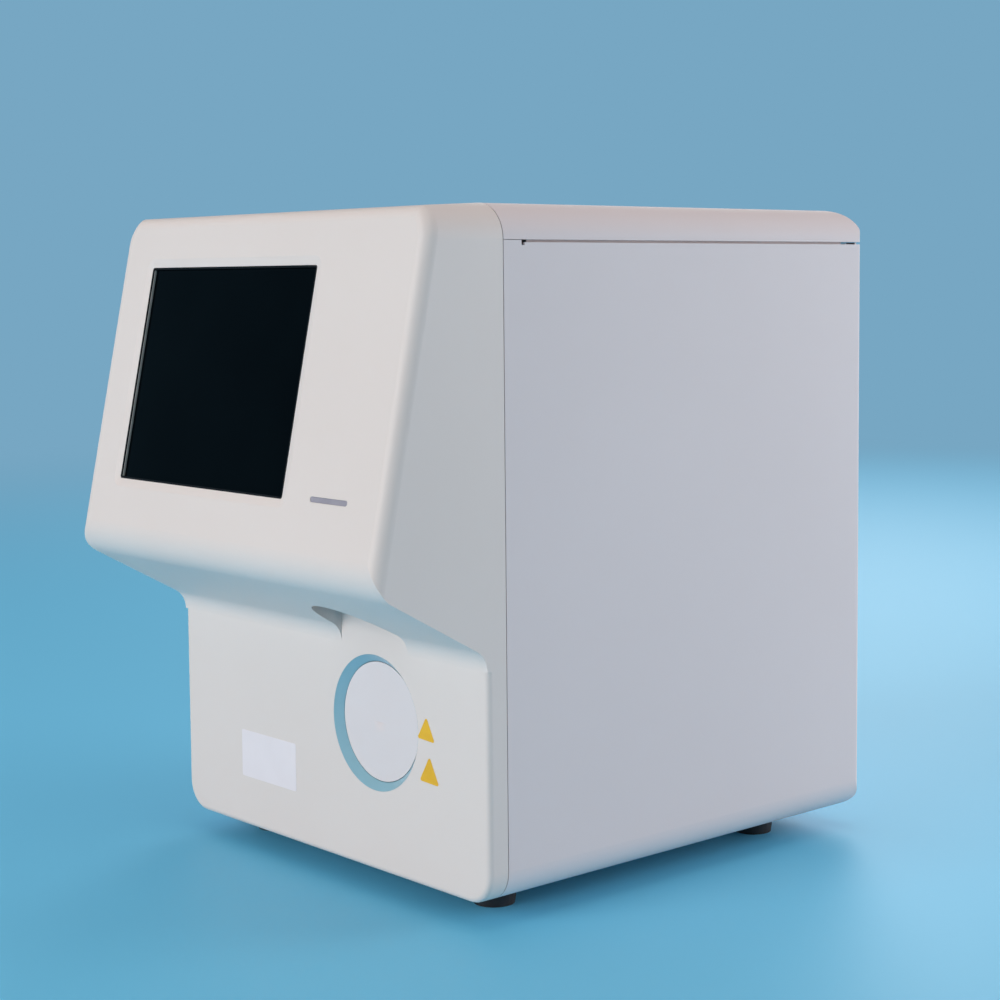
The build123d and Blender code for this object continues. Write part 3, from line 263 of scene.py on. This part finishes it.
shellWhite = makeFinish("shellWhite", {
    "toneLow": (0.790, 0.703, 0.655), "toneHigh": (0.805, 0.720, 0.673), "toneScale": 6,
    "roughLow": 0.46, "roughHigh": 0.54, "roughScale": 60,
    "grain": 0.10, "grainDepth": 0.0002, "grainScale": 900,  # faint spray texture over the moulding
    "shader": {"Specular IOR Level": 0.35},
})
panelWhite = makeFinish("panelWhite", {
    "toneLow": (0.770, 0.690, 0.685), "toneHigh": (0.788, 0.708, 0.704), "toneScale": 5,
    "roughLow": 0.56, "roughHigh": 0.66, "roughScale": 80,
    "grain": 0.22, "grainDepth": 0.0002, "grainScale": 1400,  # powder coat
    "shader": {"Specular IOR Level": 0.3},
})
dishTurquoise = makeFinish("dishTurquoise", {
    "toneLow": (0.275, 0.495, 0.585), "toneHigh": (0.295, 0.520, 0.610), "toneScale": 14,
    "roughLow": 0.30, "roughHigh": 0.34, "roughScale": 400,
    "grain": 0.05, "grainDepth": 0.0001, "grainScale": 1500,
    "shader": {"Coat Weight": 0.12, "Coat Roughness": 0.2},
})
keyWhite = makeFinish("keyWhite", {
    "toneLow": (0.800, 0.722, 0.712), "toneHigh": (0.812, 0.735, 0.726), "toneScale": 12,
    "roughLow": 0.30, "roughHigh": 0.40, "roughScale": 110,
    "grain": 0.06, "grainDepth": 0.0001, "grainScale": 1700,
})
screenBlack = makeFinish("screenBlack", {
    "toneLow": (0.0004, 0.0010, 0.0016), "toneHigh": (0.0008, 0.0018, 0.0026), "toneScale": 12,
    "roughLow": 0.03, "roughHigh": 0.09, "roughScale": 35,  # faint wipe marks on the glass
    "grain": 0.02, "grainDepth": 0.00005, "grainScale": 200,
    "shader": {"Specular IOR Level": 0.03},
})
# window seal lining: near-black, partly the seal's own black and partly painted shade that stands
# for the shaded gap round the glass
gasketShadeBlack = makeFinish("gasketShadeBlack", {
    "toneLow": (0.002, 0.003, 0.004), "toneHigh": (0.005, 0.006, 0.007), "toneScale": 90,
    "roughLow": 0.6, "roughHigh": 0.75, "roughScale": 300,
    "grain": 0.3, "grainDepth": 0.0002, "grainScale": 1100,
    "shader": {"Specular IOR Level": 0.15},
})
footRubber = makeFinish("footRubber", {
    "toneLow": (0.010, 0.010, 0.012), "toneHigh": (0.020, 0.020, 0.022), "toneScale": 110,
    "roughLow": 0.6, "roughHigh": 0.8, "roughScale": 260,
    "grain": 0.4, "grainDepth": 0.0003, "grainScale": 900,
})
casePlastic = makeFinish("casePlastic", {
    "toneLow": (0.030, 0.030, 0.033), "toneHigh": (0.042, 0.042, 0.046), "toneScale": 70,
    "roughLow": 0.42, "roughHigh": 0.58, "roughScale": 240,
    "grain": 0.35, "grainDepth": 0.0002, "grainScale": 1300,  # spark-eroded mould texture
})
lampGrey = makeFinish("lampGrey", {
    "toneLow": (0.340, 0.305, 0.345), "toneHigh": (0.390, 0.350, 0.390), "toneScale": 140,
    "roughLow": 0.18, "roughHigh": 0.28, "roughScale": 150,
    "grain": 0.06, "grainDepth": 0.0001, "grainScale": 700,
    "shader": {"Coat Weight": 0.4, "Coat Roughness": 0.08},
})
screwSteel = makeFinish("screwSteel", {
    "toneLow": (0.50, 0.50, 0.51), "toneHigh": (0.60, 0.60, 0.61), "toneScale": 220,
    "roughLow": 0.22, "roughHigh": 0.38, "roughScale": 500,
    "grain": 0.12, "grainDepth": 0.0001, "grainScale": 1600, "stretch": (1, 1, 6),
    "shader": {"Metallic": 1.0},
})
zincSheet = makeFinish("zincSheet", {
    "toneLow": (0.46, 0.47, 0.48), "toneHigh": (0.60, 0.61, 0.62), "toneScale": 45,
    "roughLow": 0.46, "roughHigh": 0.60, "roughScale": 70,
    "grain": 0.10, "grainDepth": 0.0001, "grainScale": 800, "stretch": (1, 0.3, 1),
    "shader": {"Metallic": 1.0},
})
anodised = makeFinish("anodised", {
    "toneLow": (0.58, 0.59, 0.61), "toneHigh": (0.66, 0.67, 0.69), "toneScale": 60,
    "roughLow": 0.28, "roughHigh": 0.38, "roughScale": 400,
    "grain": 0.15, "grainDepth": 0.0001, "grainScale": 900, "stretch": (1, 0.08, 1),
    "shader": {"Metallic": 1.0},
})
boardGreen = makeFinish("boardGreen", {
    "toneLow": (0.012, 0.090, 0.045), "toneHigh": (0.020, 0.130, 0.066), "toneScale": 160,
    "roughLow": 0.28, "roughHigh": 0.42, "roughScale": 200,
    "grain": 0.25, "grainDepth": 0.0002, "grainScale": 600,
})
clearPlastic = makeFinish("clearPlastic", {
    "toneLow": (0.82, 0.86, 0.88), "toneHigh": (0.90, 0.93, 0.95), "toneScale": 50,
    "roughLow": 0.05, "roughHigh": 0.14, "roughScale": 160,
    "grain": 0.05, "grainDepth": 0.0001, "grainScale": 300, "stretch": (1, 1, 0.4),
    "shader": {"Transmission Weight": 0.85, "IOR": 1.49},
})
valveNylon = makeFinish("valveNylon", {
    "toneLow": (0.62, 0.61, 0.56), "toneHigh": (0.70, 0.69, 0.64), "toneScale": 130,
    "roughLow": 0.4, "roughHigh": 0.52, "roughScale": 260,
    "grain": 0.12, "grainDepth": 0.0001, "grainScale": 1200,
})
portPlastic = makeFinish("portPlastic", {
    "toneLow": (0.56, 0.57, 0.59), "toneHigh": (0.63, 0.64, 0.66), "toneScale": 140,
    "roughLow": 0.28, "roughHigh": 0.4, "roughScale": 300,
    "grain": 0.08, "grainDepth": 0.0001, "grainScale": 1200,
})
turnedBrass = makeFinish("turnedBrass", {
    "toneLow": (0.58, 0.38, 0.13), "toneHigh": (0.68, 0.47, 0.19), "toneScale": 160,
    "roughLow": 0.2, "roughHigh": 0.34, "roughScale": 500,
    "grain": 0.15, "grainDepth": 0.0001, "grainScale": 1500, "stretch": (1, 8, 1),
    "shader": {"Metallic": 1.0},
})
slotFinishes = {
    "shell_white": shellWhite, "panel_white": panelWhite, "turquoise": dishTurquoise,
    "key_white": keyWhite, "screen_black": screenBlack, "rubber_black": footRubber,
    "dark_plastic": casePlastic, "lamp_grey": lampGrey, "steel": screwSteel,
    "zinc_sheet": zincSheet, "aluminium": anodised, "circuit_green": boardGreen,
    "clear_plastic": clearPlastic, "valve_white": valveNylon, "port_plastic": portPlastic,
    "brass": turnedBrass,
}
print("finishes made:", len(slotFinishes))


# every CAD node gets the finish of its slot
def dressNodes():
    for part in frame["record"]["subparts"]:
        node = frame["nodes"][part["node"]]
        node.data.materials.clear()
        node.data.materials.append(slotFinishes[part["material_slot"]])
    # the window seal gets the near-black finish, which is partly painted shade for the gap round
    # the glass
    frame["nodes"]["window_gasket"].data.materials[0] = gasketShadeBlack


dressNodes()
print("nodes dressed")


# flat stickers on the lower front
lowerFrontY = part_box("key_ring")[0].y
stickers = {
    "thickness": 0.00012,
    "label": {"middle": (-0.0585, 0.0595), "size": (0.058, 0.0295), "corner": 0.0012},
    "triangles": [
        [(0.0970, 0.1111), (0.0890, 0.0982), (0.1044, 0.0973)],
        [(0.0995, 0.0889), (0.0906, 0.0742), (0.1078, 0.0733)],
    ],
    "triangleCorner": 0.0010,
}
labelWhite = makeFinish("labelWhite", {
    "toneLow": (0.88, 0.80, 0.81), "toneHigh": (0.90, 0.82, 0.83), "toneScale": 40,
    "roughLow": 0.25, "roughHigh": 0.35, "roughScale": 90,
    "grain": 0.04, "grainDepth": 0.0001, "grainScale": 500,
})
signYellow = makeFinish("signYellow", {
    "toneLow": (0.86, 0.47, 0.012), "toneHigh": (0.92, 0.52, 0.022), "toneScale": 90,
    "roughLow": 0.28, "roughHigh": 0.4, "roughScale": 120,
    "grain": 0.05, "grainDepth": 0.0001, "grainScale": 700,
})


def roundCorners(corners, radius, steps=6):
    # walks round (x, z) corners and gives an outline with arcs of that radius
    outline = []
    for i, corner in enumerate(corners):
        here = Vector(corner)
        before = (Vector(corners[i - 1]) - here).normalized()
        after = (Vector(corners[(i + 1) % len(corners)]) - here).normalized()
        half = before.angle(after) / 2
        centre = here + (before + after).normalized() * (radius / math.sin(half))
        start = here + before * (radius / math.tan(half)) - centre
        end = here + after * (radius / math.tan(half)) - centre
        turn = start.angle_signed(end)
        for step in range(steps + 1):
            spot = start.copy()
            spot.rotate(Matrix.Rotation(-turn * step / steps, 2))
            outline.append(centre + spot)
    return outline


def pressSticker(name, corners, radius, finish, wallY=lowerFrontY, outward=-1):
    mesh = bmesh.new()
    outline = roundCorners(corners, radius)
    back = [mesh.verts.new((p.x, wallY, p.y)) for p in outline]
    face = mesh.faces.new(back)
    lifted = bmesh.ops.extrude_face_region(mesh, geom=[face])["geom"]
    for spot in lifted:
        if isinstance(spot, bmesh.types.BMVert):
            spot.co.y += outward * stickers["thickness"]
    sticker = newObject(name, mesh)
    sticker.data.materials.append(finish)
    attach(sticker, "machine")


def rectangle(look):
    x, z = look["middle"]
    w, h = (v / 2 for v in look["size"])
    return [(x - w, z - h), (x + w, z - h), (x + w, z + h), (x - w, z + h)]


label = stickers["label"]
pressSticker("blankLabel", rectangle(label), label["corner"], labelWhite)
for i, corners in enumerate(stickers["triangles"]):
    pressSticker(f"yellowSticker{i + 1}", corners, stickers["triangleCorner"], signYellow)
print("stickers on the lower front")


# bare rating plate on the rear panel, brushed foil
ratingPlate = {
    "middle": (-0.070, 0.172),
    "size": (0.062, 0.036),
    "corner": 0.0020,
}
brushedFoil = makeFinish("brushedFoil", {
    "toneLow": (0.60, 0.60, 0.61), "toneHigh": (0.72, 0.72, 0.73), "toneScale": 260,
    "roughLow": 0.30, "roughHigh": 0.44, "roughScale": 500,
    "grain": 0.20, "grainDepth": 0.0001, "grainScale": 900, "stretch": (0.03, 1, 1),
    "shader": {"Metallic": 1.0},
})
pressSticker("ratingPlate", rectangle(ratingPlate), ratingPlate["corner"], brushedFoil,
             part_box("rear_panel")[1].y, 1)
print("rating plate on the rear")


# two slim grey strips that stand on the glass, along its left and right edges
edgeStrips = {
    "inset": 0.00115,
    "wall": 0.00035,
    "height": 0.0013,
    "short": 0.0012,  # how far each end stops from the seal
}
stripGrey = makeFinish("stripGrey", {
    "toneLow": (0.340, 0.342, 0.320), "toneHigh": (0.400, 0.402, 0.378), "toneScale": 200,
    "roughLow": 0.35, "roughHigh": 0.5, "roughScale": 400,
    "grain": 0.10, "grainDepth": 0.0001, "grainScale": 1500,
})


def standStrips(look):
    glass = frame["nodes"]["touch_glass"].data
    forward = (f for f in glass.polygons if f.normal.y < -0.5)
    ahead = max(forward, key=lambda f: f.area).normal.copy()
    across = Vector((1, 0, 0))
    rise = ahead.cross(across)
    turn = Matrix((across, ahead, rise)).transposed().to_4x4()
    spots = [turn.transposed() @ v.co for v in glass.vertices]
    low, high = min(p.z for p in spots) + look["short"], max(p.z for p in spots) - look["short"]
    front = max(p.y for p in spots)
    mesh = bmesh.new()
    for side, edge in ((1, min(p.x for p in spots)), (-1, max(p.x for p in spots))):
        outer = edge + side * look["inset"]
        inner = outer + side * look["wall"]
        middle = Vector(((outer + inner) / 2, front + look["height"] / 2, (low + high) / 2))
        span = Matrix.Diagonal((look["wall"], look["height"], high - low, 1))
        bmesh.ops.create_cube(mesh, size=1, matrix=turn @ Matrix.Translation(middle) @ span)
    strips = newObject("edgeStrips", mesh)
    soften = strips.modifiers.new("softEdges", "BEVEL")
    soften.width = look["wall"] / 4
    soften.segments = 2
    strips.data.materials.append(stripGrey)
    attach(strips, "machine")


standStrips(edgeStrips)
print("edge strips standing")


# return spring behind the key, with closed ends
keySpring = {
    "wire": 0.00045,
    "openTurns": 5,
    "closedTurns": 1,
    "sides": 10,
    "stepsPerTurn": 36,
    "shortened": 0.0025,
}


def windSpring(look):
    low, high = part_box("key_spring")
    wire, closed = look["wire"], look["closedTurns"]
    turns = look["openTurns"] + 2 * closed
    coil = (high.x - low.x) / 2 - wire
    middle = (low + high) / 2
    front, back = low.y + wire + 2 * wire * closed, high.y - wire - 2 * wire * closed
    mesh = bmesh.new()
    rings = []
    for step in range(turns * look["stepsPerTurn"] + 1):
        done = step / look["stepsPerTurn"]
        if done < closed:
            along = front - 2 * wire * (closed - done)
        elif done > turns - closed:
            along = back + 2 * wire * (done - turns + closed)
        else:
            along = front + (back - front) * (done - closed) / look["openTurns"]
        angle = done * math.tau
        ring = []
        for side in range(look["sides"]):
            around = side * math.tau / look["sides"]
            reach = coil + wire * math.cos(around)
            ring.append(mesh.verts.new((middle.x + reach * math.cos(angle),
                                        along + wire * math.sin(around),
                                        middle.z + reach * math.sin(angle))))
        rings.append(ring)
    for ring, following in zip(rings, rings[1:]):
        for i in range(len(ring)):
            j = (i + 1) % len(ring)
            mesh.faces.new((ring[i], ring[j], following[j], following[i]))
    mesh.faces.new(rings[0])
    mesh.faces.new(rings[-1])
    spring = newObject("returnSpring", mesh, smooth=True)
    spring.data.materials.append(screwSteel)
    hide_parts("key_spring")
    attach(spring, "machine")
    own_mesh(spring)


windSpring(keySpring)
print("return spring wound")
